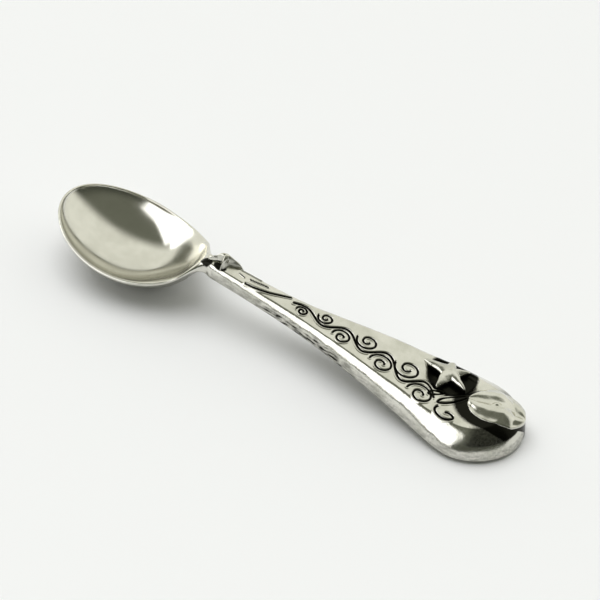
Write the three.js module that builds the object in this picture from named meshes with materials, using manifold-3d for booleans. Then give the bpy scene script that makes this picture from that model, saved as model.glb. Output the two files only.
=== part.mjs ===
// A small cast-pewter souvenir spoon, lying on a table: a dished oval bowl, a handle that widens to a
// thick round end, and three raised ornaments soldered into shallow seats on top.
// Millimetres. +X runs along the spoon from the bowl's tip to the handle's end, +Y across, +Z up.
// The origin is under the middle of the spoon, on the table.
import * as THREE from 'three';
import { mergeVertices } from 'three/addons/utils/BufferGeometryUtils.js';
import Module from 'manifold-3d';

const wasm = await Module();
wasm.setup();

// Driving dimensions
const LENGTH = 108;
const TIP_X = -LENGTH / 2;
const END_X = LENGTH / 2;
const JOINT_X = -17; // the butt joint between bowl and handle, hidden under the neck star

const BOWL = {
  halfWidth: 11.2,
  widestX: -38.3, // where the bowl is widest and deepest
  neckX: -19, // where the bowl's oval would close, just before the joint
  neckTaper: 0.68, // 0.5 is an ellipse, more draws the oval out into the neck
  neckStartX: -25, // from here the bowl's section turns into the handle's
  lip: 0.5, // width of the flat rim, and height of its edge
  leastHollow: 0.2, // half-width the hollow keeps where it runs out
  wall: 1.2,
  worn: 0.12, // worn off the bottom, which leaves a small flat to stand on
  steepness: 0.72, // 0.5 is an ellipsoid, 1 a paraboloid
};
const RIM_HEIGHT = [
  [TIP_X, 10.9], [-46, 8.4], [-38, 7.0], [-31, 6.8], [-25, 8.0], [-21, 10.2], [JOINT_X, 11.8],
];

// The handle's half-width, and the heights of its flat top, of its widest line and of its underside
const HANDLE_HALF_WIDTH = [
  [-20, 2.1], [-6, 2.6], [5, 3.5], [19, 5.8], [30, 7.7], [42, 10.0], [END_X, 9.8],
];
const HANDLE_CROWN = [
  [-20, 12.5], [-6, 10.8], [4, 9.9], [18, 9.1], [30, 7.8], [40, 6.5], [47, 6.5], [END_X, 7.2],
];
const HANDLE_WAIST = [[-20, 9.6], [2, 7.1], [12, 6.2], [22, 4.9], [32, 2.8], [42, 1.1], [END_X, 0.9]];
const HANDLE_UNDERSIDE = [
  [-20, 9.2], [2, 6.6], [12, 5.3], [22, 3.5], [31, 1.4], [40, 0.1], [END_X, -0.3],
];
// How far the flanks' ellipse would rise over the widest line, if the flat top didn't cut it off
const HANDLE_FLANK = [[-20, 3.5], [0, 3.5], [12, 4.3], [26, 5.8], [42, 8.0], [END_X, 8.0]];
const CROWN_DOME = 0.3; // how much higher the middle of the top is than its edges
const ROUND_END = 12; // length over which the handle's end is rounded off
const UNDERSIDE_POWER = 2.7; // superellipse power of the section below its widest line

const END_INSET = 0.05; // a rounded end stops this short, so that no section shrinks to a point
const SOLDER_GAP = 0.05;
const SKY = 20; // above everything, where a cut for a seat ends

// The stars are modelled by hand, so their points are uneven: each is [degrees from +X, reach].
// Slope is how fast a star's heights change along X, to follow the handle's top.
const NECK_STAR = {
  x: -15.6,
  y: 0,
  seat: 11.2,
  edge: 12.3,
  peak: 13.5,
  slope: -0.12,
  points: [[28, 3.6], [92, 3.3], [150, 3.0], [216, 4.5], [268, 3.3]],
};
const END_STAR = {
  x: 35.8,
  y: 4.1,
  seat: 5.0,
  edge: 6.9,
  peak: 8.0,
  slope: -0.13,
  points: [[41, 4.2], [107, 3.7], [184, 6.9], [263, 5.4], [335, 5.4]],
};
const NOTCH_RATIO = 0.36; // a star's notches against the points on either side
const CORNER_GROWTH = { point: 2.5, notch: 1.5 }; // how far a corner moves for a gap of 1 at the sides

// The sunk field round the end star, and how far below the flanks' ellipse the flat top is at its bank
const RECESS = { x: 36.4, y: 3.9, radius: 6.6, floor: 0.55, depth: 1.1, bank: 0.5 };
const LOBE = {
  x: 47.6,
  y: 1.8,
  turn: 12, // degrees that its length is turned from +X
  halfLength: 5.9,
  halfWidth: 4.3,
  seat: 2.8,
  shoulder: 5.1,
  crown: 7.6,
  slope: -0.15, // of the shoulder and the crown along its length
};
const LOBE_FOOT = 0.33; // how steeply the lobe's side drops to its flat foot
const FLUTE = { count: 3, depth: 0.25 };

// Divisions round a section, and along the part
const BOWL_GRID = [40, 44];
const HANDLE_GRID = [36, 46];
const LOBE_GRID = [40, 14];

const { clamp, lerp: mix, smoothstep: smooth, degToRad } = THREE.MathUtils;

// The value at x of a smooth curve through the points
function along(points, x) {
  const slope = (i) => {
    const before = points[Math.max(i - 1, 0)];
    const after = points[Math.min(i + 1, points.length - 1)];
    return (after[1] - before[1]) / (after[0] - before[0]);
  };
  let i = 0;
  while (i < points.length - 2 && x > points[i + 1][0]) i += 1;
  const [x0, y0] = points[i];
  const [x1, y1] = points[i + 1];
  const span = x1 - x0;
  const t = (clamp(x, x0, x1) - x0) / span;
  return y0 * (1 + 2 * t) * (1 - t) ** 2 + y1 * t * t * (3 - 2 * t)
    + slope(i) * span * t * (1 - t) ** 2 + slope(i + 1) * span * t * t * (t - 1);
}

// A superellipse's coordinate for a sine or cosine
const squared = (value) => Math.sign(value) * Math.abs(value) ** (2 / UNDERSIDE_POWER);
const isUpper = (angle) => Math.sin(angle) > -1e-9;

// A point of the handle's section at x; the angle runs round the section from +Y over the top
function handlePoint(x, angle) {
  const past = clamp((x - END_X + ROUND_END) / ROUND_END, 0, 1);
  const end = Math.sqrt(1 - past ** 2);
  const halfWidth = along(HANDLE_HALF_WIDTH, x) * end;
  const waist = along(HANDLE_WAIST, x);
  if (!isUpper(angle)) {
    const down = squared(Math.sin(angle)) * Math.sqrt(1 - past ** 4);
    const height = waist + (waist - along(HANDLE_UNDERSIDE, x)) * down;
    return new THREE.Vector3(x, halfWidth * squared(Math.cos(angle)), Math.max(height, 0));
  }
  const across = Math.cos(angle);
  const y = halfWidth * across;
  const flank = waist + along(HANDLE_FLANK, x) * end * Math.sin(angle);
  const crown = along(HANDLE_CROWN, x) + CROWN_DOME * (0.5 - across ** 2);
  const fromRecess = Math.hypot(x - RECESS.x, y - RECESS.y) / RECESS.radius;
  const inRecess = 1 - smooth(fromRecess, RECESS.floor, 1);
  const sunk = RECESS.depth * inRecess * smooth(flank - crown, -RECESS.bank, RECESS.bank);
  return new THREE.Vector3(x, y, Math.min(flank, crown) - sunk);
}

// A point of the bowl's section at x: the hollow for the top half, the outside for the bottom half
function bowlPoint(x, angle) {
  const towardsTip = x < BOWL.widestX;
  const reach = Math.abs((towardsTip ? TIP_X : BOWL.neckX) - BOWL.widestX);
  const outwards = Math.abs(x - BOWL.widestX);
  const share = (length) => 1 - clamp(outwards / length, 0, 1) ** 2;
  const halfWidth = BOWL.halfWidth * share(reach) ** (towardsTip ? 0.5 : BOWL.neckTaper);
  const rim = along(RIM_HEIGHT, x);
  const depth = along(RIM_HEIGHT, BOWL.widestX);
  const across = Math.cos(angle);
  const lateral = 1 - across ** 2;
  if (isUpper(angle)) {
    const fall = (share(reach - BOWL.lip) * lateral) ** BOWL.steepness;
    const hollowWidth = Math.max(halfWidth - BOWL.lip, BOWL.leastHollow);
    return new THREE.Vector3(x, hollowWidth * across, rim - (depth - BOWL.wall) * fall);
  }
  const fall = (share(reach) * lateral) ** BOWL.steepness;
  const outside = rim - BOWL.lip - (depth - BOWL.lip + BOWL.worn) * fall;
  return new THREE.Vector3(x, halfWidth * across, Math.max(outside, 0));
}

// The bowl's section, which turns into the handle's section over the neck
function bowlAndNeckPoint(x, angle) {
  return bowlPoint(x, angle).lerp(handlePoint(x, angle), smooth(x, BOWL.neckStartX, JOINT_X));
}

// A closed solid whose rings lie at the stations, made from a cylinder's rings and end caps
function loft(stations, around, pointAt) {
  const rows = stations.length - 1;
  const geometry = new THREE.CylinderGeometry(1, 1, 1, around, rows);
  const position = geometry.attributes.position;
  for (let i = 0; i < position.count; i += 1) {
    const x = stations[Math.round((position.getY(i) + 0.5) * rows)];
    const fromMiddle = Math.hypot(position.getX(i), position.getZ(i));
    const angle = Math.atan2(position.getX(i), position.getZ(i));
    const middle = pointAt(x, Math.PI / 2).lerp(pointAt(x, -Math.PI / 2), 0.5);
    const point = middle.lerp(pointAt(x, angle), fromMiddle);
    position.setXYZ(i, point.x, point.y, point.z);
  }
  return geometry;
}

// Stations from a rounded end to a cut end, closer together at the rounded one
function stationsFrom(roundEnd, cutEnd, count) {
  const ease = (u) => (u < 0.5 ? 2 * u * u : 2 * u - 0.5) / 1.5;
  return Array.from({ length: count + 1 }, (_, i) => mix(roundEnd, cutEnd, ease(i / count)));
}

// A star's ten corners in turn, points and notches, as [radians from +X, reach]
function starCorners(star, grow) {
  return star.points.flatMap(([degrees, reach], i) => {
    const [nextDegrees, nextReach] = star.points[(i + 1) % star.points.length];
    const middle = (degrees + nextDegrees + (nextDegrees < degrees ? 360 : 0)) / 2;
    const notchReach = NOTCH_RATIO * (reach + nextReach) / 2;
    const point = [degToRad(degrees), reach + CORNER_GROWTH.point * grow];
    return [point, [degToRad(middle), notchReach + CORNER_GROWTH.notch * grow]];
  });
}

// A star with a ridge to each point, from a ten-sided cylinder; grow adds to its outline all round
function starGeometry(star, grow, top) {
  const corners = starCorners(star, grow);
  const geometry = new THREE.CylinderGeometry(1, 1, 1, corners.length, 1);
  const position = geometry.attributes.position;
  for (let i = 0; i < position.count; i += 1) {
    const fromMiddle = Math.hypot(position.getX(i), position.getZ(i));
    const turn = Math.atan2(position.getX(i), position.getZ(i)) / (2 * Math.PI);
    const [angle, reach] = corners[Math.round((turn + 1) * corners.length) % corners.length];
    const height = position.getY(i) > 0 ? mix(top.peak, top.edge, fromMiddle) : star.seat;
    const forwards = fromMiddle * reach * Math.cos(angle);
    const sideways = fromMiddle * reach * Math.sin(angle);
    position.setXYZ(i, star.x + forwards, star.y + sideways, height + star.slope * forwards);
  }
  return geometry;
}

function placeLobe(geometry, height) {
  return geometry.rotateZ(degToRad(LOBE.turn)).translate(LOBE.x, LOBE.y, height);
}

// A flat-bottomed rounded lobe with lengthwise flutes, from a sphere
function lobeGeometry() {
  const geometry = new THREE.SphereGeometry(1, ...LOBE_GRID);
  const position = geometry.attributes.position;
  for (let i = 0; i < position.count; i += 1) {
    const across = position.getX(i);
    const up = position.getY(i);
    const flute = FLUTE.depth * Math.cos(across * Math.PI * FLUTE.count) * Math.max(up, 0);
    const forwards = -position.getZ(i) * LOBE.halfLength;
    const shoulder = LOBE.shoulder + LOBE.slope * forwards;
    const below = mix(shoulder, LOBE.seat, clamp(-up / LOBE_FOOT, 0, 1));
    const height = up < 0 ? below : shoulder + (LOBE.crown - LOBE.shoulder) * up + flute;
    position.setXYZ(i, forwards, -across * LOBE.halfWidth, height);
  }
  return placeLobe(geometry, 0);
}

// The lobe's seat: an upright oval, a solder gap larger than the lobe all round
function lobeSeatGeometry() {
  const geometry = new THREE.CylinderGeometry(1, 1, SKY - LOBE.seat, LOBE_GRID[0]);
  geometry.rotateX(Math.PI / 2);
  geometry.scale(LOBE.halfLength + SOLDER_GAP, LOBE.halfWidth + SOLDER_GAP, 1);
  return placeLobe(geometry, (SKY + LOBE.seat) / 2);
}

function solidOf(geometry) {
  geometry.deleteAttribute('normal');
  geometry.deleteAttribute('uv');
  const merged = mergeVertices(geometry, 1e-4);
  return new wasm.Manifold(new wasm.Mesh({
    numProp: 3,
    vertProperties: merged.attributes.position.array,
    triVerts: new Uint32Array(merged.index.array),
  }));
}

function meshOf(name, solid, material) {
  const { vertProperties, triVerts } = solid.getMesh();
  const geometry = new THREE.BufferGeometry();
  geometry.setAttribute('position', new THREE.BufferAttribute(vertProperties, 3));
  geometry.setIndex(new THREE.BufferAttribute(triVerts, 1));
  geometry.computeVertexNormals();
  const mesh = new THREE.Mesh(geometry, material);
  mesh.name = name;
  return mesh;
}

// What is cut away to seat each ornament, open at the top
const openTop = { peak: SKY, edge: SKY };
const neckStarSeat = solidOf(starGeometry(NECK_STAR, SOLDER_GAP, openTop));
const endStarSeat = solidOf(starGeometry(END_STAR, SOLDER_GAP, openTop));
const lobeSeat = solidOf(lobeSeatGeometry());

const bowlStations = stationsFrom(TIP_X + END_INSET, JOINT_X, BOWL_GRID[1]);
const handleStations = stationsFrom(END_X - END_INSET, JOINT_X, HANDLE_GRID[1]).reverse();

const bowl = solidOf(loft(bowlStations, BOWL_GRID[0], bowlAndNeckPoint)).subtract(neckStarSeat);
const handle = solidOf(loft(handleStations, HANDLE_GRID[0], handlePoint))
  .subtract(neckStarSeat)
  .subtract(endStarSeat)
  .subtract(lobeSeat);

const polished = new THREE.MeshStandardMaterial({ color: 0xb9b7ab, roughness: 0.22, metalness: 1 });
const darkened = new THREE.MeshStandardMaterial({ color: 0x8f8d83, roughness: 0.3, metalness: 1 });

const spoon = new THREE.Group();
spoon.add(
  meshOf('bowl', bowl, polished),
  meshOf('handle', handle, polished),
  meshOf('neck_star', solidOf(starGeometry(NECK_STAR, 0, NECK_STAR)), darkened),
  meshOf('end_star', solidOf(starGeometry(END_STAR, 0, END_STAR)), darkened),
  meshOf('end_lobe', solidOf(lobeGeometry()), polished),
);

export default spoon;
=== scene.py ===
"""The looks of a small cast-pewter souvenir spoon: bowl, handle and three raised ornaments.

The shapes are worked out in millimetres in the part's frame: +X from the bowl's tip to the handle's end,
+Y across, +Z up, and the table at z = 0. The outlines follow the CAD part's driving dimensions. The flanks
near the handle's end and the hollow near the neck are shaped a little differently from the CAD's.
"""

import math

import bmesh
import bpy
import numpy as np
from mathutils import Matrix, Vector, kdtree, noise


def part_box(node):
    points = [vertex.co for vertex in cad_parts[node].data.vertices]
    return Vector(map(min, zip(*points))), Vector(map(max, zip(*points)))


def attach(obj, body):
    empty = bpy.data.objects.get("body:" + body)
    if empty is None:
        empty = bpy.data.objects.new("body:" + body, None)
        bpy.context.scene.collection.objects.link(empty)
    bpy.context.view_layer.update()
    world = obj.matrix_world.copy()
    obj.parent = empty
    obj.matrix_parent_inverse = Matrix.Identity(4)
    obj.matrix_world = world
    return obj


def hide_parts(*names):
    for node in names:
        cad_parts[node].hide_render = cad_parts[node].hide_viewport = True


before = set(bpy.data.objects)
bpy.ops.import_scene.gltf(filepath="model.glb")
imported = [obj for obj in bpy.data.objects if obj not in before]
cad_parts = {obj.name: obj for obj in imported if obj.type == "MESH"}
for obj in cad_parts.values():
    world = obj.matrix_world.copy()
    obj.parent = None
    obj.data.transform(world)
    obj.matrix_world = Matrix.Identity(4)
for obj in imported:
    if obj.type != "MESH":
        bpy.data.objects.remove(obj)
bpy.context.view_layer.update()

MM = 0.001
TIP_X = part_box("bowl")[0].x / MM
END_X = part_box("handle")[1].x / MM
JOINT_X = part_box("handle")[0].x / MM

# ---------------------------------------------------------------- driving dimensions, in millimetres
# A list of pairs (x, value) is a smooth curve through those points.

BOWL_HALF_WIDTH = 11.2
WIDEST_X = -38.3  # where the bowl is widest and deepest
NECK_X = -18.2  # where the bowl's oval would close
NECK_TAPER = 0.68  # 0.5 is an ellipse, more draws the oval out into the neck
NECK_START_X = -22.8  # from here the bowl's section turns into the handle's
RIM_HEIGHT = [
    (-54, 10.9), (-46, 8.4), (-38, 7.0), (-31, 6.8), (-25, 8.0), (-21, 10.2), (-17, 11.8),
]
LIP = 0.5  # width of the rounded rim
LIP_HEIGHT = 0.5
LIP_POWER = 2.4  # superellipse power of the rim's rounding
WALL = 1.2  # thickness of the bowl's floor
STEEPNESS = 0.72  # 0.5 is an ellipsoid, 1 a paraboloid
NECK_STEEPNESS = 1.45  # the same for the hollow near the neck, where it runs out gently
STEEPNESS_CHANGES = (-38, -23)  # from here to here, the hollow goes from one to the other

HALF_WIDTH = [(-20, 2.1), (-6, 2.6), (5, 3.5), (19, 5.8), (30, 7.7), (42, 10.0), (54, 9.8)]
# Heights of the flat top, of the line where the handle is widest, and of its underside
CROWN = [(-20, 12.5), (-6, 10.8), (4, 9.9), (18, 9.1), (30, 7.8), (40, 6.5), (47, 6.5), (54, 7.2)]
WAIST = [(-20, 9.6), (2, 7.1), (12, 6.2), (22, 4.9), (32, 2.8), (42, 1.1), (54, 0.9)]
UNDERSIDE = [(-20, 9.2), (2, 6.6), (12, 5.3), (22, 3.5), (31, 1.4), (40, 0.1), (54, -0.3)]
UNDERSIDE_POWER = 2.7  # superellipse power of the section below the waist
# How far the flanks' curve would rise over the waist, and its power: 2 is an ellipse, less is flatter
FLANK = [(-20, 3.5), (0, 3.5), (12, 4.3), (26, 5.8), (42, 8.0), (54, 8.0)]
FLANK_POWER = [(-20, 2.0), (30, 2.0), (42, 1.6), (49, 1.75), (54, 1.75)]
CROWN_DOME = 0.3  # how much higher the middle of the top is than its edges
EDGE_SOFTNESS = 0.1  # rounding of the edge between the top and the flanks
# The sunk field fades out from where the flanks' curve is this far above the flat top to where it is this
# far below it
EDGE_BAND = 0.5
ROUND_END = 12.0  # length over which the handle's end is rounded off
# The sunk field round the end star; from `floor` of its radius outwards it rises to the top
RECESS = {"x": 36.4, "y": 3.9, "radius": 6.6, "floor": 0.55, "depth": 1.1}

# The stars' points are listed one by one and are uneven: each is (degrees from +X, reach)
NECK_STAR = {
    "x": -15.0, "y": 1.3, "height": 2.3, "foot": 1.0,
    "points": [(12, 3.9), (84, 2.9), (148, 3.6), (206, 4.7), (266, 3.0)],
}
END_STAR = {
    "x": 35.8, "y": 4.1, "height": 1.05, "foot": 1.5,
    "points": [(41, 4.2), (107, 3.7), (184, 6.9), (263, 5.4), (335, 5.4)],
}
NOTCH_RATIO = 0.36  # a star's notches against the points on either side
CORNER_ROUNDING = 7  # degrees either way over which a star's outline is averaged
STAR_ROUNDING = (2.2, 0.6)  # powers of a star's section; (2, 0.5) would make it an ellipse
POINT_DROP = 0.45  # share of the height that is lost at the longest point
STAR_EDGE = 0.12  # height of a star's edge
LOBE = {
    "x": 47.6, "y": 1.8, "length": 5.9, "width": 4.3, "turn": 12.0, "height": 1.1, "foot": 1.5,
    "left_edge": 6.7, "right_edge": 5.0,  # least height of its edge at either end
}
LOBE_ROUNDING = 2.6  # 2 would make the lobe's section an ellipse, more makes it flatter on top
FOLD = 0.6  # depth of the lobe's lengthwise folds, against its height
FOLD_SHIFT = 0.1  # the valley between the two folds, as a share of the half-width
FLAT_MIDDLE = 0.2  # within this share of the lobe's reach, the folds fade out towards its middle

# ---------------------------------------------------------------- engraving, in millimetres

STROKES = [  # three plain strokes and a short one near the neck, each with its half-width
    ([(-11.7, 1.4), (-9.5, 1.5), (-7.1, 1.5)], 0.15),
    ([(-8.9, 0.2), (-6.8, 0.5), (-5.0, 0.75)], 0.13),
    ([(-9.2, -1.15), (-7.0, -0.95), (-3.7, -0.2), (0.1, 1.3)], 0.2),
    ([(-11.4, 0.2), (-10.2, 0.0)], 0.1),
]
VINE_FROM, VINE_TO = 1.2, 36.0
VINE_MIDDLE = [(1, 0.5), (10, -0.2), (22, -1.0), (33, -2.6), (42, -4.2)]
VINE_SWING = [(1, 1.2), (10, 2.1), (22, 2.9), (33, 3.3), (42, 2.4)]
VINE_WAVES = 3.5
VINE_HALF_WIDTH = 0.24
# Size against the stem's swing, offset from the stem's middle, lengthening, turns and share wound in
TENDRIL = {"size": 0.72, "offset": 0.62, "stretch": 1.25, "turns": 1.45, "winding": 0.8}
TENDRIL_THINNING = 0.85  # a tendril's width against the stem's
# The last curl; its half-axes are `radius` times the two stretches, and angles are in degrees
VINE_CURL = {
    "x": 40.2, "y": -5.2, "radius": 1.9, "stretch": (1.5, 0.8), "start": 150, "sweep": 330, "winding": 0.75,
}
LEAVES = [  # stalk end, tip, half-width
    ((34.7, -2.9), (36.6, -0.6), 0.55),
    ((37.2, -3.6), (41.4, 1.2), 0.8),
]
LEAF_POWER = 0.3  # 0 makes a leaf an ellipse, more makes its ends sharper
GROOVE_DEPTH = 0.4
GROOVE_LIP = 0.13  # metal raised on either side of a groove
# Distances from a groove's line, in half-widths of the groove
GROOVE_WALL = (1.15, 0.2)  # the wall's top and foot
GROOVE_LIP_AT, GROOVE_LIP_SPREAD = 1.9, 0.7
GROOVE_OXIDE = (1.35, 0.75)  # where the oxide ends and where it is full

# ---------------------------------------------------------------- oxide, darker metal and painted shade
# They are stored together on the points, from 0 to 1, and drawn in the one black of the oxide. Unless it
# says otherwise, a pair is where one of them ends and where it is full.

NECK_PITS = [(-18.7, -0.9, 1.4, 0.8), (-15.6, -0.7, 1.5, 0.8)]  # middle x, y, half-length, half-width
NECK_PIT_EDGE = (1.15, 0.8)  # in shares of a pit's size
# Painted dark reflection and shade on the handle's end and round the lobe's near side
LOBE_FOOT_SHADE = {"reach": (1.65, 1.35), "across": (0.9, 0.3)}  # in shares of the lobe's size
END_SHADE = {"strength": 0.66, "x": (44.5, 47.5), "over_waist": (2.7, 3.2)}
POCKET_OXIDE = {"shift": 0.3, "reach": (5.6, 4.7), "over_waist": (2.4, 3.2)}
# Painted dark reflection, blotched, low on the handle's sides
SIDE_SHADE = {
    "over_waist": (2.6, 1.2),
    "worst_from": (-8, 1), "worst_to": (22, 12),  # along X
    "even": (0.3, 0.22), "blotched": (0.2, 0.6),  # everywhere, and how much more where it is worst
    "blotches": (0.6, 1.6, 2.2),  # scales of the noise along X, Y and Z, per millimetre
}
# The outside of the bowl darker below its rim, and painted shade towards where it stands on the table
OUTSIDE_DARKENING = {"strength": 0.38, "below_rim": (0.45, 0.9)}
FOOT_SHADE = {"strength": 0.4, "z": (1.8, 0.5)}

# ---------------------------------------------------------------- fineness of the meshes

SECTION_SAMPLES = 1201
# Rows along X; the share of them, from the rounded end, over which their gaps grow; points over the top
# and beneath
BOWL_MESH = {"rows": 260, "closest": 0.35, "over": 150, "beneath": 110}
HANDLE_MESH = {"rows": 800, "closest": 0.1, "over": 260, "beneath": 50}
ANGLES = np.linspace(0, 2 * math.pi, 360, endpoint=False)  # one a degree
RELIEF_ROWS, RELIEF_WALL_ROWS = 44, 10
RELIEF_CROWDING = 1.7  # more than 1 brings a relief's rows closer together towards its edge
WALL_STARTS = 0.15  # share of the way down a relief's wall from which it is darkened
LINE_SAMPLES, LEAF_SAMPLES = 300, 240
WELD_DISTANCE = 1e-7  # metres
TINY = 1e-6

# ---------------------------------------------------------------- helpers


def mix(a, b, t):
    return a + (b - a) * t


def smooth(x, low, high):
    """0 below low, 1 above high, and a smooth step between; low may be the larger one."""
    t = np.clip((x - low) / (high - low), 0, 1)
    return t * t * (3 - 2 * t)


def along(points, x):
    """The value at x of a smooth curve through the points."""
    px, py = np.array(points, float).T
    before = np.maximum(np.arange(len(px)) - 1, 0)
    after = np.minimum(np.arange(len(px)) + 1, len(px) - 1)
    slope = (py[after] - py[before]) / (px[after] - px[before])
    i = np.clip(np.searchsorted(px, x) - 1, 0, len(px) - 2)
    span = px[i + 1] - px[i]
    t = np.clip((x - px[i]) / span, 0, 1)
    ends = py[i] * (1 + 2 * t) * (1 - t) ** 2 + py[i + 1] * t * t * (3 - 2 * t)
    return ends + span * (slope[i] * t * (1 - t) ** 2 + slope[i + 1] * t * t * (t - 1))


def lengths_along(points):
    """How far along a line of points each of them is."""
    steps = np.linalg.norm(np.diff(points, axis=0), axis=1)
    return np.concatenate([[0], np.cumsum(steps)])


def evenly(points, count):
    """count points spaced evenly along a line of points."""
    length = lengths_along(points)
    if length[-1] < TINY:
        return np.repeat(points[:1], count, axis=0)
    wanted = np.linspace(0, length[-1], count)
    return np.column_stack([np.interp(wanted, length, column) for column in points.T])


def noise_at(points):
    """Smooth noise at each of a grid's points."""
    values = [noise.noise(point) for point in points.reshape(-1, 3).tolist()]
    return np.array(values).reshape(points.shape[:2])


# ---------------------------------------------------------------- the handle's shape


def past_straight(x, most=1):
    """How far along the rounded end x is: 0 where it starts, `most` at the tip."""
    return np.clip((x - END_X + ROUND_END) / ROUND_END, 0, most)


def handle_crown(x, eta):
    """y and the height of the handle's top before anything is cut into it, and 1 where it is flat."""
    end = np.sqrt(1 - past_straight(x) ** 2)
    power = along(FLANK_POWER, x)
    flank = along(WAIST, x) + along(FLANK, x) * end * (1 - np.abs(eta) ** power) ** (1 / power)
    crown = along(CROWN, x) + CROWN_DOME * (0.5 - eta**2)
    top = flank - EDGE_SOFTNESS * np.log1p(np.exp((flank - crown) / EDGE_SOFTNESS))
    return along(HALF_WIDTH, x) * end * eta, top, smooth(crown - flank, EDGE_BAND, -EDGE_BAND)


def in_recess(x, y):
    from_middle = np.hypot(x - RECESS["x"], y - RECESS["y"]) / RECESS["radius"]
    return smooth(from_middle, 1, RECESS["floor"])


def handle_section(x, eta):
    """y, top and underside of the handle at x, at each fraction eta of the half-width."""
    y, top, on_crown = handle_crown(x, eta)
    sunk = RECESS["depth"] * in_recess(x, y) * on_crown
    waist = along(WAIST, x)
    down = (1 - np.abs(eta) ** UNDERSIDE_POWER) ** (1 / UNDERSIDE_POWER)
    down = down * np.sqrt(1 - past_straight(x) ** 4)
    under = waist - (waist - along(UNDERSIDE, x)) * down
    return y, top - sunk, np.maximum(under, 0)


def surface_height(x, y):
    """The height of the handle's top at x, y; past its sides, that of the flank."""
    half = along(HALF_WIDTH, x) * np.sqrt(1 - past_straight(x, 0.999) ** 2)
    return handle_crown(x, np.clip(y / half, -0.97, 0.97))[1]


# ---------------------------------------------------------------- the bowl's shape


def bowl_share(x, inset):
    """1 where the bowl is widest, falling to 0 at its tip and at its neck."""
    reach = abs((TIP_X if x < WIDEST_X else NECK_X) - WIDEST_X) - inset
    return 1 - np.clip(abs(x - WIDEST_X) / reach, 0, 1) ** 2


def bowl_outline(x, inset):
    """Half-width of the bowl's oval at x, drawn in by inset all round."""
    taper = 0.5 if x < WIDEST_X else NECK_TAPER
    return (BOWL_HALF_WIDTH - inset) * bowl_share(x, inset) ** taper


def bowl_fall(x, y, inset, steepness):
    """How far down, from 0 at the oval's edge to 1 at the bottom, the basin is at x, y."""
    half = max(bowl_outline(x, inset), TINY)
    return np.clip(bowl_share(x, inset) * (1 - (y / half) ** 2), 0, 1) ** steepness


def across_lip(x, y):
    """0 inside the bowl's hollow, rising over the lip to 1 at its outer edge."""
    if x < WIDEST_X:
        half_length = WIDEST_X - TIP_X
        along_axis = (x - WIDEST_X) / half_length
        level = np.hypot(along_axis, y / BOWL_HALF_WIDTH)
        steep = np.hypot(along_axis / half_length, y / BOWL_HALF_WIDTH**2) / np.maximum(level, TINY)
        to_edge = (1 - level) / np.maximum(steep, TINY)
    else:
        step = 0.01
        slope = (bowl_outline(x + step, 0) - bowl_outline(x - step, 0)) / (2 * step)
        to_edge = (bowl_outline(x, 0) - np.abs(y)) / math.hypot(1, slope)
    return np.clip(1 - to_edge / LIP, 0, 1)


def bowl_section(x, eta):
    """y, top and underside of the bowl at x, at each fraction eta of the half-width."""
    y = bowl_outline(x, 0) * eta
    rim = along(RIM_HEIGHT, x)
    depth = along(RIM_HEIGHT, WIDEST_X)
    lip = across_lip(x, y)
    crest = LIP_HEIGHT * (1 - (1 - lip**LIP_POWER) ** (1 / LIP_POWER))
    steepness = mix(STEEPNESS, NECK_STEEPNESS, smooth(x, *STEEPNESS_CHANGES))
    hollow = np.where(lip > 0, 0, (depth - WALL) * bowl_fall(x, y, LIP, steepness))
    under = rim - LIP_HEIGHT - (depth - LIP_HEIGHT) * bowl_fall(x, y, 0, STEEPNESS)
    return y, rim - crest - hollow, np.maximum(under, 0)


# ---------------------------------------------------------------- grids and meshes


def spoon_section(x, eta):
    """The bowl's section, turning into the handle's section over the neck."""
    blend = smooth(x, NECK_START_X, JOINT_X)
    if blend <= 0:
        return bowl_section(x, eta)
    if blend >= 1:
        return handle_section(x, eta)
    return tuple(mix(b, h, blend) for b, h in zip(bowl_section(x, eta), handle_section(x, eta)))


def ring(x, over, beneath):
    """The outline at x: `over` points from the far edge over the top, and `beneath` points back."""
    eta = np.cos(np.linspace(0, math.pi, SECTION_SAMPLES))
    y, top, under = spoon_section(x, eta)
    upper = evenly(np.column_stack([y, top]), over + 1)[:-1]
    lower = evenly(np.column_stack([y, under])[::-1], beneath + 1)[:-1]
    points = np.vstack([upper, lower])
    return np.column_stack([np.full(len(points), x), points])


def stations(round_end, rows, closest):
    """Places along X from a rounded end to the joint; over the first `closest` of them the gaps grow."""
    u = np.linspace(0, 1, rows + 1)
    eased = np.where(u < closest, u * u / (2 * closest), u - closest / 2)
    return mix(round_end, JOINT_X, eased / eased[-1])


def casting_grid(places, mesh):
    return np.array([ring(x, mesh["over"], mesh["beneath"]) for x in places])


def grid_normals(grid):
    """Outward normals of a grid of points whose columns close round."""
    down_rows = np.gradient(grid, axis=0)
    round_ring = np.roll(grid, -1, axis=1) - np.roll(grid, 1, axis=1)
    normal = np.cross(round_ring, down_rows)
    return normal / np.maximum(np.linalg.norm(normal, axis=2, keepdims=True), 1e-9)


def undulate(grid, amount, size, seed):
    """Pushes the points in and out a little, as a hand-finished casting is, but never below the table."""
    waves = noise_at(grid / size + seed)
    grid += grid_normals(grid) * (amount * waves)[..., None]
    np.maximum(grid[..., 2], 0, out=grid[..., 2])


def skin(name, grid, cap_row, oxide_and_shade):
    """A closed mesh over a grid of rings; cap_row is the end row shut by a flat cap, if one is."""
    rows, columns = grid.shape[:2]
    index = np.arange(rows * columns).reshape(rows, columns)
    turned = np.roll(index, -1, axis=1)
    faces = np.stack([index[:-1], turned[:-1], turned[1:], index[1:]], axis=2).reshape(-1, 4).tolist()
    if cap_row is not None:
        ring_of_cap = index[cap_row].tolist()
        faces.append(ring_of_cap if cap_row else ring_of_cap[::-1])
    mesh = bpy.data.meshes.new(name)
    mesh.from_pydata((grid.reshape(-1, 3) * MM).tolist(), [], faces)
    finish_mesh(mesh, oxide_and_shade.ravel())
    return add_object(name, mesh)


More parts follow.
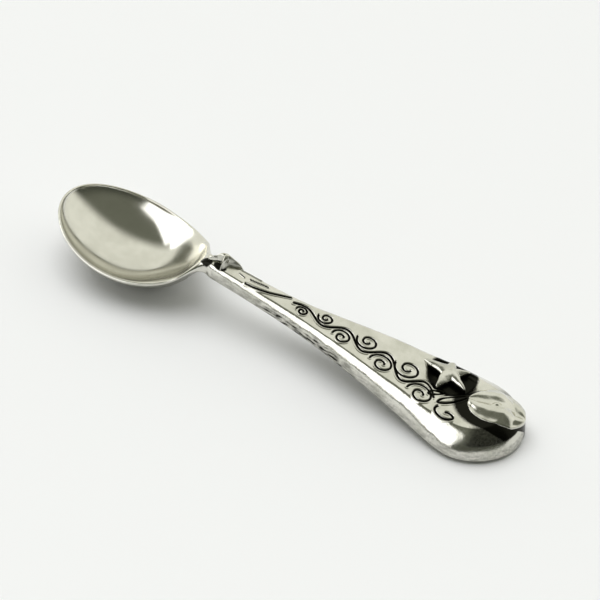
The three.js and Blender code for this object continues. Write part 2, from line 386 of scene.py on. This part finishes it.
def finish_mesh(mesh, oxide_and_shade):
    """Stores the oxide and painted shade on the points, welds double points and smooths all but the flat
    caps.
    """
    layer = mesh.attributes.new("oxide_and_shade", "FLOAT", "POINT")
    layer.data.foreach_set("value", np.ascontiguousarray(oxide_and_shade, np.float32))
    work = bmesh.new()
    work.from_mesh(mesh)
    bmesh.ops.remove_doubles(work, verts=work.verts, dist=WELD_DISTANCE)
    bmesh.ops.recalc_face_normals(work, faces=work.faces)
    for face in work.faces:
        face.smooth = len(face.verts) <= 4
        if not face.smooth:
            for edge in face.edges:
                edge.smooth = False
    work.to_mesh(mesh)
    work.free()


def add_object(name, data):
    thing = bpy.data.objects.new(name, data)
    bpy.context.scene.collection.objects.link(thing)
    return thing


# ---------------------------------------------------------------- engraved lines


def curve(points, spacing=0.05):
    """Closely spaced points along a smooth line through the given ones."""
    points = np.array(points, float)
    length = lengths_along(points)
    at = np.linspace(0, length[-1], max(int(length[-1] / spacing), 2))
    return np.column_stack([along(np.column_stack([length, column]), at) for column in points.T])


def vine_stem():
    x = np.linspace(VINE_FROM, VINE_TO, 3 * LINE_SAMPLES)
    swing = np.sin((x - VINE_FROM) / (VINE_TO - VINE_FROM) * VINE_WAVES * 2 * math.pi)
    return np.column_stack([x, along(VINE_MIDDLE, x) + 0.5 * along(VINE_SWING, x) * swing])


def vine_tendrils():
    """A spiral in each hollow of the stem's waves, on alternate sides."""
    half_wave = (VINE_TO - VINE_FROM) / VINE_WAVES / 2
    t = np.linspace(0, 1, LINE_SAMPLES)
    for k in range(int(VINE_WAVES * 2)):
        side = 1 if k % 2 else -1
        middle_x = VINE_FROM + (k + 0.5) * half_wave
        radius = TENDRIL["size"] * along(VINE_SWING, middle_x)
        middle_y = along(VINE_MIDDLE, middle_x) + side * TENDRIL["offset"] * radius
        angle = math.pi + side * TENDRIL["turns"] * 2 * math.pi * t
        r = radius * (1 - TENDRIL["winding"] * t)
        x = middle_x + TENDRIL["stretch"] * r * np.cos(angle)
        yield np.column_stack([x, middle_y + r * np.sin(angle)])


def vine_end():
    """The stem's last curl, beside the lobe."""
    t = np.linspace(0, 1, LINE_SAMPLES)
    angle = math.radians(VINE_CURL["start"]) + t * math.radians(VINE_CURL["sweep"])
    r = VINE_CURL["radius"] * (1 - VINE_CURL["winding"] * t)
    wide, high = VINE_CURL["stretch"]
    return np.column_stack([
        VINE_CURL["x"] + wide * r * np.cos(angle),
        VINE_CURL["y"] + high * r * np.sin(angle),
    ])


def leaf_outline(stalk, tip, half_width):
    stalk, tip = np.array(stalk), np.array(tip)
    t = np.linspace(0, 2 * math.pi, LEAF_SAMPLES)
    lengthwise = 0.5 - 0.5 * np.cos(t)
    sideways = half_width * np.sin(t) * np.abs(np.sin(t)) ** LEAF_POWER
    axis = (tip - stalk) / np.linalg.norm(tip - stalk)
    across = np.array([-axis[1], axis[0]])
    return stalk + np.outer(lengthwise, tip - stalk) + np.outer(sideways, across)


def engraved_lines():
    """Every engraved line, as its points and its half-width."""
    lines = [(curve(points), width) for points, width in STROKES]
    lines.append((vine_stem(), VINE_HALF_WIDTH))
    lines += [(tendril, TENDRIL_THINNING * VINE_HALF_WIDTH) for tendril in vine_tendrils()]
    lines.append((vine_end(), VINE_HALF_WIDTH))
    lines += [(leaf_outline(*leaf), VINE_HALF_WIDTH) for leaf in LEAVES]
    return lines


def distance_to_lines(x, y):
    """The distance from each x, y to the nearest engraved line, in half-widths of that line."""
    lines = engraved_lines()
    points = np.vstack([line for line, _ in lines])
    widths = np.concatenate([np.full(len(line), width) for line, width in lines])
    tree = kdtree.KDTree(len(points))
    for i, (line_x, line_y) in enumerate(points):
        tree.insert((line_x, line_y, 0), i)
    tree.balance()
    found = [tree.find((a, b, 0))[1:] for a, b in zip(x.ravel(), y.ravel())]
    distance = np.array([away for _, away in found]).reshape(x.shape)
    return distance / widths[[index for index, _ in found]].reshape(x.shape)


def engrave(grid, over):
    """Cuts the lines into the top of the grid; returns how dark each of its points is from it."""
    top = grid[:, :over]
    away = distance_to_lines(top[..., 0], top[..., 1])
    top[..., 2] -= GROOVE_DEPTH * smooth(away, *GROOVE_WALL)
    top[..., 2] += GROOVE_LIP * np.exp(-(((away - GROOVE_LIP_AT) / GROOVE_LIP_SPREAD) ** 2))
    dark = np.zeros(grid.shape[:2])
    dark[:, :over] = smooth(away, *GROOVE_OXIDE)
    return dark


# ---------------------------------------------------------------- raised ornaments


def star_reach(star):
    """How far a star's outline is from its middle in each direction, with slightly rounded corners."""
    corners = []
    points = star["points"]
    for i, (degrees, reach) in enumerate(points):
        following, next_reach = points[(i + 1) % len(points)]
        following += 360 if following < degrees else 0
        corners.append((degrees, reach))
        corners.append(((degrees + following) / 2, NOTCH_RATIO * (reach + next_reach) / 2))
    corners.append((corners[0][0] + 360, corners[0][1]))
    degrees, reach = np.array(corners).T
    turn = (np.degrees(ANGLES) - degrees[0]) % 360 + degrees[0]
    i = np.clip(np.searchsorted(degrees, turn, side="right") - 1, 0, len(degrees) - 2)
    gap = np.radians(degrees[i + 1] - degrees[i])
    before, after = np.radians(turn - degrees[i]), np.radians(degrees[i + 1] - turn)
    straight = reach[i + 1] * np.sin(after) + reach[i] * np.sin(before)
    edge = reach[i] * reach[i + 1] * np.sin(gap) / straight
    kernel = np.hanning(2 * CORNER_ROUNDING + 1)
    padded = np.concatenate([edge[-CORNER_ROUNDING:], edge, edge[:CORNER_ROUNDING]])
    return np.convolve(padded, kernel / kernel.sum(), "valid")


def relief(shape, reach, lift):
    """A closed raised piece on the handle's top, and where its wall is; lift(s, x, y) is its height."""
    inwards = 1 - np.linspace(0, 1, RELIEF_ROWS)
    share = 1 - inwards**RELIEF_CROWDING
    s = np.concatenate([share, np.full(RELIEF_WALL_ROWS, 1.0), [0.0]])[:, None]
    wall = np.linspace(0.1, 1, RELIEF_WALL_ROWS)
    down = np.concatenate([np.zeros(RELIEF_ROWS), wall, [1.0]])[:, None]
    x = shape["x"] + s * reach * np.cos(ANGLES)
    y = shape["y"] + s * reach * np.sin(ANGLES)
    z = surface_height(x, y) + mix(lift(s, x, y), -shape["foot"], down)
    return np.stack([x, y, z], axis=2), np.broadcast_to(down > WALL_STARTS, x.shape)


def star_grid(star):
    """A star whose height falls from its middle to its edge, and towards the tips of its points."""
    longest = max(reach for _, reach in star["points"])
    inner, outer = STAR_ROUNDING

    def lift(s, x, y):
        from_middle = np.hypot(x - star["x"], y - star["y"]) / longest
        return star["height"] * (1 - s**inner) ** outer * (1 - POINT_DROP * from_middle) + STAR_EDGE

    return relief(star, star_reach(star), lift)


def in_lobe(x, y):
    """x, y as shares of the lobe's half-length and half-width."""
    turn = math.radians(LOBE["turn"])
    dx, dy = x - LOBE["x"], y - LOBE["y"]
    lengthwise = (dx * math.cos(turn) + dy * math.sin(turn)) / LOBE["length"]
    return lengthwise, (dy * math.cos(turn) - dx * math.sin(turn)) / LOBE["width"]


def lobe_grid():
    """The oval lobe, with two lengthwise folds that fan out from its ends."""
    turned = ANGLES - math.radians(LOBE["turn"])
    oval = 1 / np.hypot(np.cos(turned) / LOBE["length"], np.sin(turned) / LOBE["width"])

    def lift(s, x, y):
        lengthwise, across = in_lobe(x, y)
        fan = np.clip(across / np.sqrt(np.clip(1 - lengthwise**2, 0.05, 1)), -1, 1)
        folds = np.sin(math.pi * (fan - FOLD_SHIFT)) ** 2
        dome = (1 - s**LOBE_ROUNDING) ** 0.5
        edge = mix(LOBE["left_edge"], LOBE["right_edge"], 0.5 + 0.5 * lengthwise)
        raised = np.maximum(edge - surface_height(x, y), 0)
        return raised + LOBE["height"] * dome * (1 - FOLD * (1 - folds) * smooth(s, 0, FLAT_MIDDLE))

    return relief(LOBE, oval, lift)


# ---------------------------------------------------------------- oxide, darkening and painted shade


def over_waist(grid):
    """How far each point is above the line where the handle is widest."""
    return grid[..., 2] - along(WAIST, grid[..., 0])


def neck_pit_oxide(grid):
    """The oxide in the hollows left between the neck star's near points."""
    x, y = grid[..., 0], grid[..., 1]
    reaches = [np.hypot((x - pit_x) / long, (y - pit_y) / wide) for pit_x, pit_y, long, wide in NECK_PITS]
    return smooth(np.minimum.reduce(reaches), *NECK_PIT_EDGE)


def end_painted_shade(grid):
    """Painted dark reflection and shade on the top of the rounded end and round the lobe's near side, down
    to where the polished edge begins.
    """
    x, y = grid[..., 0], grid[..., 1]
    lengthwise, across = in_lobe(x, y)
    at_lobe = smooth(np.hypot(lengthwise, across), *LOBE_FOOT_SHADE["reach"])
    at_lobe = at_lobe * smooth(across, *LOBE_FOOT_SHADE["across"])
    at_end = END_SHADE["strength"] * smooth(x, *END_SHADE["x"])
    return smooth(over_waist(grid), *END_SHADE["over_waist"]) * np.maximum(at_lobe, at_end)


def pocket_oxide(grid):
    """The dark pockets between the end star's points, on the top only."""
    dx, dy = grid[..., 0] - END_STAR["x"] - POCKET_OXIDE["shift"], grid[..., 1] - END_STAR["y"]
    near_star = smooth(np.hypot(dx, dy), *POCKET_OXIDE["reach"])
    return near_star * smooth(over_waist(grid), *POCKET_OXIDE["over_waist"])


def blotched_side_shade(grid):
    """Painted dark reflection low on the handle's sides, blotched."""
    x = grid[..., 0]
    low = smooth(over_waist(grid), *SIDE_SHADE["over_waist"])
    worst = smooth(x, *SIDE_SHADE["worst_from"]) * smooth(x, *SIDE_SHADE["worst_to"])
    even, more_even = SIDE_SHADE["even"]
    blotched, more_blotched = SIDE_SHADE["blotched"]
    blotches = (blotched + more_blotched * worst) * noise_at(grid * SIDE_SHADE["blotches"])
    return low * (even + more_even * worst + blotches)


def outside_darkening_and_shade(grid, over):
    """The outside of the bowl darker below the rim, and painted shade that grows blacker towards where it
    stands on the table.
    """
    rim, z = along(RIM_HEIGHT, grid[..., 0]), grid[..., 2]
    darker = OUTSIDE_DARKENING["strength"] * smooth(rim - z, *OUTSIDE_DARKENING["below_rim"])
    darker = darker + FOOT_SHADE["strength"] * smooth(z, *FOOT_SHADE["z"])
    darker[:, :over] = 0
    return darker


# ---------------------------------------------------------------- the pieces


def add_bowl():
    grid = casting_grid(stations(TIP_X, BOWL_MESH["rows"], BOWL_MESH["closest"]), BOWL_MESH)
    # Oxide in the neck pits; the outside darker, with painted shade towards the table
    oxide_and_shade = np.maximum(neck_pit_oxide(grid), outside_darkening_and_shade(grid, BOWL_MESH["over"]))
    return skin("bowl_casting", grid, -1, oxide_and_shade)


def add_handle():
    places = stations(END_X, HANDLE_MESH["rows"], HANDLE_MESH["closest"])[::-1]
    grid = casting_grid(places, HANDLE_MESH)
    away_from_joint = smooth(grid[..., 0], JOINT_X, JOINT_X + 3)
    undulate(grid, amount=0.03 * away_from_joint, size=1.8, seed=5.0)
    # Oxide in the grooves, pockets and neck pits, and painted shade and dark reflection on the end and low
    # on the sides
    oxide_and_shade = np.maximum.reduce([
        engrave(grid, HANDLE_MESH["over"]),
        pocket_oxide(grid),
        neck_pit_oxide(grid),
        end_painted_shade(grid),
        blotched_side_shade(grid),
    ])
    return skin("handle_casting", grid, 0, oxide_and_shade)


def add_ornament(name, relief_and_wall, lumps, wall_darkness):
    """A raised piece with lumps of the given height, in millimetres, and its wall darkened by the given
    share.
    """
    grid, wall = relief_and_wall
    undulate(grid, amount=lumps, size=1.6, seed=3.0)
    return skin(name, grid, None, wall_darkness * wall)


bowl = add_bowl()
handle = add_handle()
neck_star = add_ornament("neck_star_casting", star_grid(NECK_STAR), lumps=0.35, wall_darkness=0.2)
end_star = add_ornament("end_star_casting", star_grid(END_STAR), lumps=0.2, wall_darkness=0.8)
# The lobe's whole wall is painted black: painted shade and dark reflection round its foot
end_lobe = add_ornament("end_lobe_casting", lobe_grid(), lumps=0.08, wall_darkness=1.0)

# ---------------------------------------------------------------- materials

BRIGHT = (0.7, 0.69, 0.63)
# The black of the oxide, also used for the painted shade and dark reflections
OXIDE_AND_SHADE_COLOUR = (0.012, 0.012, 0.009)
CLOUDS, GRAIN, SPECKLE = 260.0, 700.0, 2600.0  # scales of the noise, per metre
RAGGEDNESS = 0.07  # how far the speckle shifts the edge of the black, as a share
OXIDE_AND_SHADE_SHOWS = (0.12, 0.8)  # the share at which the black of the oxide and painted shade begins and is full
OXIDE_AND_SHADE_ROUGHNESS = 0.12  # added to the roughness where there is oxide and painted shade


def noise_node(tree, position, scale, detail):
    node = tree.nodes.new("ShaderNodeTexNoise")
    node.inputs["Scale"].default_value = scale
    node.inputs["Detail"].default_value = detail
    tree.links.new(position, node.inputs["Vector"])
    return node.outputs["Fac"]


def ranged(tree, value, low, high, to_low=0.0, to_high=1.0, step="LINEAR"):
    node = tree.nodes.new("ShaderNodeMapRange")
    node.interpolation_type = step
    for name, number in (("From Min", low), ("From Max", high), ("To Min", to_low), ("To Max", to_high)):
        node.inputs[name].default_value = number
    tree.links.new(value, node.inputs["Value"])
    return node.outputs["Result"]


def mixed_colour(tree, factor, first, second):
    node = tree.nodes.new("ShaderNodeMix")
    node.data_type = "RGBA"
    tree.links.new(factor, node.inputs["Factor"])
    for socket, value in (("A", first), ("B", second)):
        if isinstance(value, tuple):
            node.inputs[socket].default_value = (*value, 1)
        else:
            tree.links.new(value, node.inputs[socket])
    return node.outputs["Result"]


def calculated(tree, operation, first, second):
    node = tree.nodes.new("ShaderNodeMath")
    node.operation = operation
    for socket, value in zip(node.inputs, (first, second)):
        if isinstance(value, float):
            socket.default_value = value
        else:
            tree.links.new(value, socket)
    return node.outputs[0]


def pewter(name, bright, darker, roughness, grain):
    """Cast pewter: cloudy polish, fine grain and specks, and black where the points carry oxide and painted
    shade.
    """
    material = bpy.data.materials.new(name)
    material.use_nodes = True
    tree = material.node_tree
    shader = tree.nodes["Principled BSDF"]
    position = tree.nodes.new("ShaderNodeTexCoord").outputs["Object"]
    clouds = noise_node(tree, position, CLOUDS, 4.0)
    speckle = noise_node(tree, position, SPECKLE, 3.0)
    oxide_and_shade = tree.nodes.new("ShaderNodeAttribute")
    oxide_and_shade.attribute_name = "oxide_and_shade"
    shift = ranged(tree, speckle, 0.35, 0.65, -RAGGEDNESS, RAGGEDNESS)
    oxide_and_shade_share = ranged(tree, calculated(tree, "ADD", oxide_and_shade.outputs["Fac"], shift), *OXIDE_AND_SHADE_SHOWS)
    metal = mixed_colour(tree, ranged(tree, clouds, 0.35, 0.65), bright, darker)
    tree.links.new(mixed_colour(tree, oxide_and_shade_share, metal, OXIDE_AND_SHADE_COLOUR), shader.inputs["Base Color"])
    shader.inputs["Metallic"].default_value = 1.0
    polish = ranged(tree, clouds, 0.3, 0.7, roughness * 0.8, roughness * 1.35)
    rough = calculated(tree, "ADD", polish, calculated(tree, "MULTIPLY", oxide_and_shade_share, OXIDE_AND_SHADE_ROUGHNESS))
    tree.links.new(rough, shader.inputs["Roughness"])
    bump = tree.nodes.new("ShaderNodeBump")
    bump.inputs["Strength"].default_value = 1.0
    bump.inputs["Distance"].default_value = grain * MM
    height = calculated(tree, "ADD", speckle, noise_node(tree, position, GRAIN, 2.0))
    tree.links.new(height, bump.inputs["Height"])
    tree.links.new(bump.outputs["Normal"], shader.inputs["Normal"])
    return material


polished = pewter("polished_pewter", BRIGHT, (0.64, 0.63, 0.57), roughness=0.15, grain=0.003)
cast = pewter("cast_pewter", BRIGHT, (0.58, 0.575, 0.51), roughness=0.16, grain=0.016)
darkened = pewter("darkened_pewter", (0.68, 0.67, 0.61), (0.45, 0.45, 0.4), roughness=0.26, grain=0.03)

PIECES = (
    (bowl, "bowl", "polished_pewter", polished),
    (handle, "handle", "polished_pewter", cast),
    (end_lobe, "end_lobe", "polished_pewter", cast),
    (neck_star, "neck_star", "darkened_pewter", darkened),
    (end_star, "end_star", "darkened_pewter", darkened),
)
for piece, node_name, slot_name, material in PIECES:
    piece.data.materials.append(material)
    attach(piece, "root")
    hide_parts(node_name)

# ---------------------------------------------------------------- floor, light and camera, in metres

FLOOR_HALF_SIZE = 3.0
FLOOR_COLOUR = (0.895, 0.9, 0.93, 1)
FLOOR_ROUGHNESS = 0.7

# The studio's tones; azimuths are in degrees from +X
FRONT_TONE = (0.165, 0.172, 0.135)  # the dim side, towards the camera
FRONT_LOW_TONE = (0.075, 0.08, 0.062)  # the same side, near the floor
FRONT_RISE = (0.2, 0.6)  # sine of the elevation where the low tone ends and the other is full
BACK_TONE = (0.98, 0.985, 0.90)  # the cream sweep behind and above
BACK_AZIMUTH = 102
BACK_SHARE = (-0.1, 0.2)  # cosine of the angle from the back's azimuth, where it begins and is full
PALE = (0.84, 0.845, 0.82)  # what the camera sees past the floor's edge

LIGHTS = (  # name, azimuth, elevation, distance, size, radiance, and whether it is in reflections only
    ("window", -129, 27, 0.9, (1.12, 0.64), 2.0, True),
    ("front_fill", -140, 40, 1.2, (1.0, 1.0), 0.3, False),
    ("window_corner", -160, 20, 0.9, (0.46, 0.3), 2.0, True),
)
KEY_LIGHT = {"azimuth": 150, "elevation": 70, "spread": 57, "strength": 1.45}

# The camera's azimuth is in degrees from -Y; its distance and lens are in millimetres
VIEW = {"azimuth": 31.8, "elevation": 48.2, "distance": 751.0, "roll": 0.83, "lens": 223.24}
TARGET = Vector((-1.14, 6.55, 4.0)) * MM


def outwards(azimuth, elevation):
    """The direction at an azimuth from +X and an elevation, in degrees."""
    azimuth, elevation = math.radians(azimuth), math.radians(elevation)
    return Vector((
        math.cos(azimuth) * math.cos(elevation),
        math.sin(azimuth) * math.cos(elevation),
        math.sin(elevation),
    ))


def add_floor():
    corners = [(-1, -1), (1, -1), (1, 1), (-1, 1)]
    mesh = bpy.data.meshes.new("floor")
    mesh.from_pydata([(FLOOR_HALF_SIZE * x, FLOOR_HALF_SIZE * y, 0) for x, y in corners], [], [(0, 1, 2, 3)])
    material = bpy.data.materials.new("floor")
    material.use_nodes = True
    shader = material.node_tree.nodes["Principled BSDF"]
    shader.inputs["Base Color"].default_value = FLOOR_COLOUR
    shader.inputs["Roughness"].default_value = FLOOR_ROUGHNESS
    mesh.materials.append(material)
    return add_object("floor", mesh)


def add_world():
    """A studio that is dim towards -Y and cream towards +Y, as a light tent with an open front is."""
    world = bpy.data.worlds.new("studio")
    world.use_nodes = True
    tree = world.node_tree
    direction = tree.nodes.new("ShaderNodeTexCoord").outputs["Generated"]
    split = tree.nodes.new("ShaderNodeSeparateXYZ")
    tree.links.new(direction, split.inputs[0])
    towards_back = tree.nodes.new("ShaderNodeVectorMath")
    towards_back.operation = "DOT_PRODUCT"
    towards_back.inputs[1].default_value = outwards(BACK_AZIMUTH, 0)
    tree.links.new(direction, towards_back.inputs[0])
    share = ranged(tree, towards_back.outputs["Value"], *BACK_SHARE, step="SMOOTHSTEP")
    height = ranged(tree, split.outputs["Z"], *FRONT_RISE, step="SMOOTHSTEP")
    front = mixed_colour(tree, height, FRONT_LOW_TONE, FRONT_TONE)
    tones = mixed_colour(tree, share, front, BACK_TONE)
    to_camera = tree.nodes.new("ShaderNodeLightPath").outputs["Is Camera Ray"]
    tree.links.new(mixed_colour(tree, to_camera, tones, PALE), tree.nodes["Background"].inputs["Color"])
    bpy.context.scene.world = world


def add_light(name, azimuth, elevation, distance, size, radiance, reflections_only):
    """A rectangular light aimed at the origin, either in reflections only or on dull surfaces only."""
    light = bpy.data.lights.new(name, "AREA")
    light.shape = "RECTANGLE"
    light.size, light.size_y = size
    light.energy = radiance * math.pi * size[0] * size[1]
    holder = add_object(name, light)
    direction = outwards(azimuth, elevation)
    holder.location = direction * distance
    holder.rotation_euler = direction.to_track_quat("Z", "Y").to_euler()
    holder.visible_camera = False
    holder.visible_glossy = reflections_only
    holder.visible_diffuse = not reflections_only


def add_key_light():
    """The soft light from above, even over the whole floor."""
    light = bpy.data.lights.new("key", "SUN")
    light.angle = math.radians(KEY_LIGHT["spread"])
    light.energy = KEY_LIGHT["strength"]
    holder = add_object("key", light)
    tilt = math.radians(90 - KEY_LIGHT["elevation"])
    holder.rotation_euler = (tilt, 0, math.radians(90 + KEY_LIGHT["azimuth"]))
    holder.visible_glossy = False


def add_camera():
    direction = outwards(VIEW["azimuth"] - 90, VIEW["elevation"])
    right = direction.cross(Vector((0, 0, 1))).normalized() * -1
    up = direction.cross(right)
    roll = math.radians(VIEW["roll"])
    side = right * math.cos(roll) + up * math.sin(roll)
    top = up * math.cos(roll) - right * math.sin(roll)
    camera = add_object("camera", bpy.data.cameras.new("camera"))
    axes = Matrix((side, top, direction)).transposed().to_4x4()
    camera.matrix_world = Matrix.Translation(TARGET + direction * VIEW["distance"] * MM) @ axes
    camera.data.lens = VIEW["lens"]
    camera.data.sensor_width = 36.0
    camera.data.clip_end = 20.0
    bpy.context.scene.camera = camera


floor = add_floor()
add_world()
for light_settings in LIGHTS:
    add_light(*light_settings)
add_key_light()
add_camera()
bpy.context.scene.view_settings.view_transform = "Standard"
